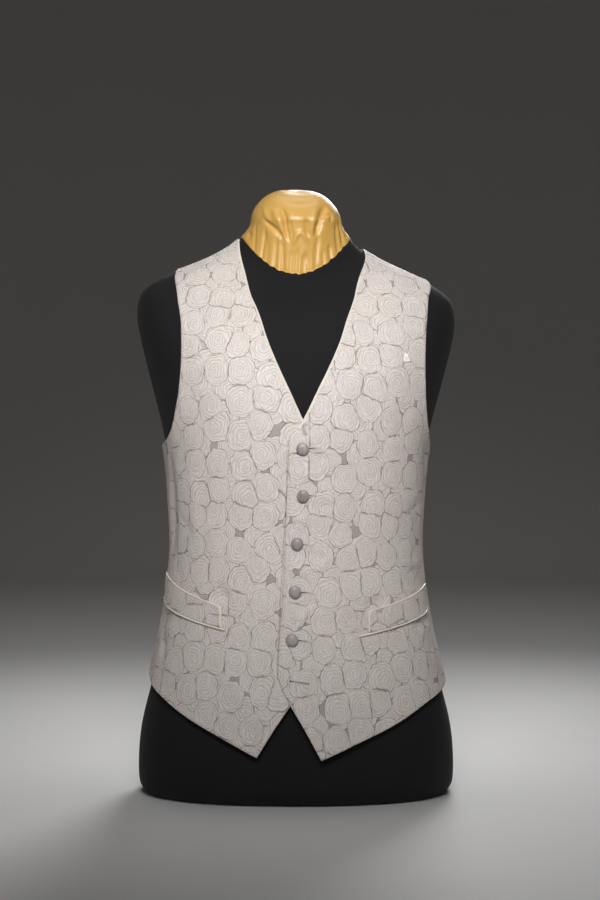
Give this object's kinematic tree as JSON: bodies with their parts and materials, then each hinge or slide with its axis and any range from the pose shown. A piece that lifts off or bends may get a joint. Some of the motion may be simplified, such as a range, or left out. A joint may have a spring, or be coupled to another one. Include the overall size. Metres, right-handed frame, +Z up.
{
  "type": "waistcoat on a limbless dress form",
  "caption": "Formal V-neck waistcoat in ivory rose brocade with a satin back, covered buttons and piped welt pockets, worn by a limbless dress form",
  "frame": {"origin": "middle of the dress form's flat underside, on the surface it stands on", "axes": "+Z up, -Y towards the front of the waistcoat, +X towards the wearer's left"},
  "size_m": [0.4008, 0.265, 0.7559],
  "materials": {
    "rose_brocade": "matt rosettes on glossy satin ground",
    "ivory_satin": "satin",
    "button_satin": "satin",
    "black_jersey": "matt knit",
    "gold_satin": "satin"
  },
  "bodies": {
    "root": {"front_left": "rose_brocade", "front_right": "rose_brocade", "back_left": "ivory_satin", "back_right": "ivory_satin", "welt_left": "rose_brocade", "welt_right": "rose_brocade", "piping_upper_left": "ivory_satin", "piping_upper_right": "ivory_satin", "piping_lower_left": "ivory_satin", "piping_lower_right": "ivory_satin", "button_1": "button_satin", "button_2": "button_satin", "button_3": "button_satin", "button_4": "button_satin", "button_5": "button_satin", "form_torso": "black_jersey", "form_neck": "gold_satin"}
  },
  "joints": []
}
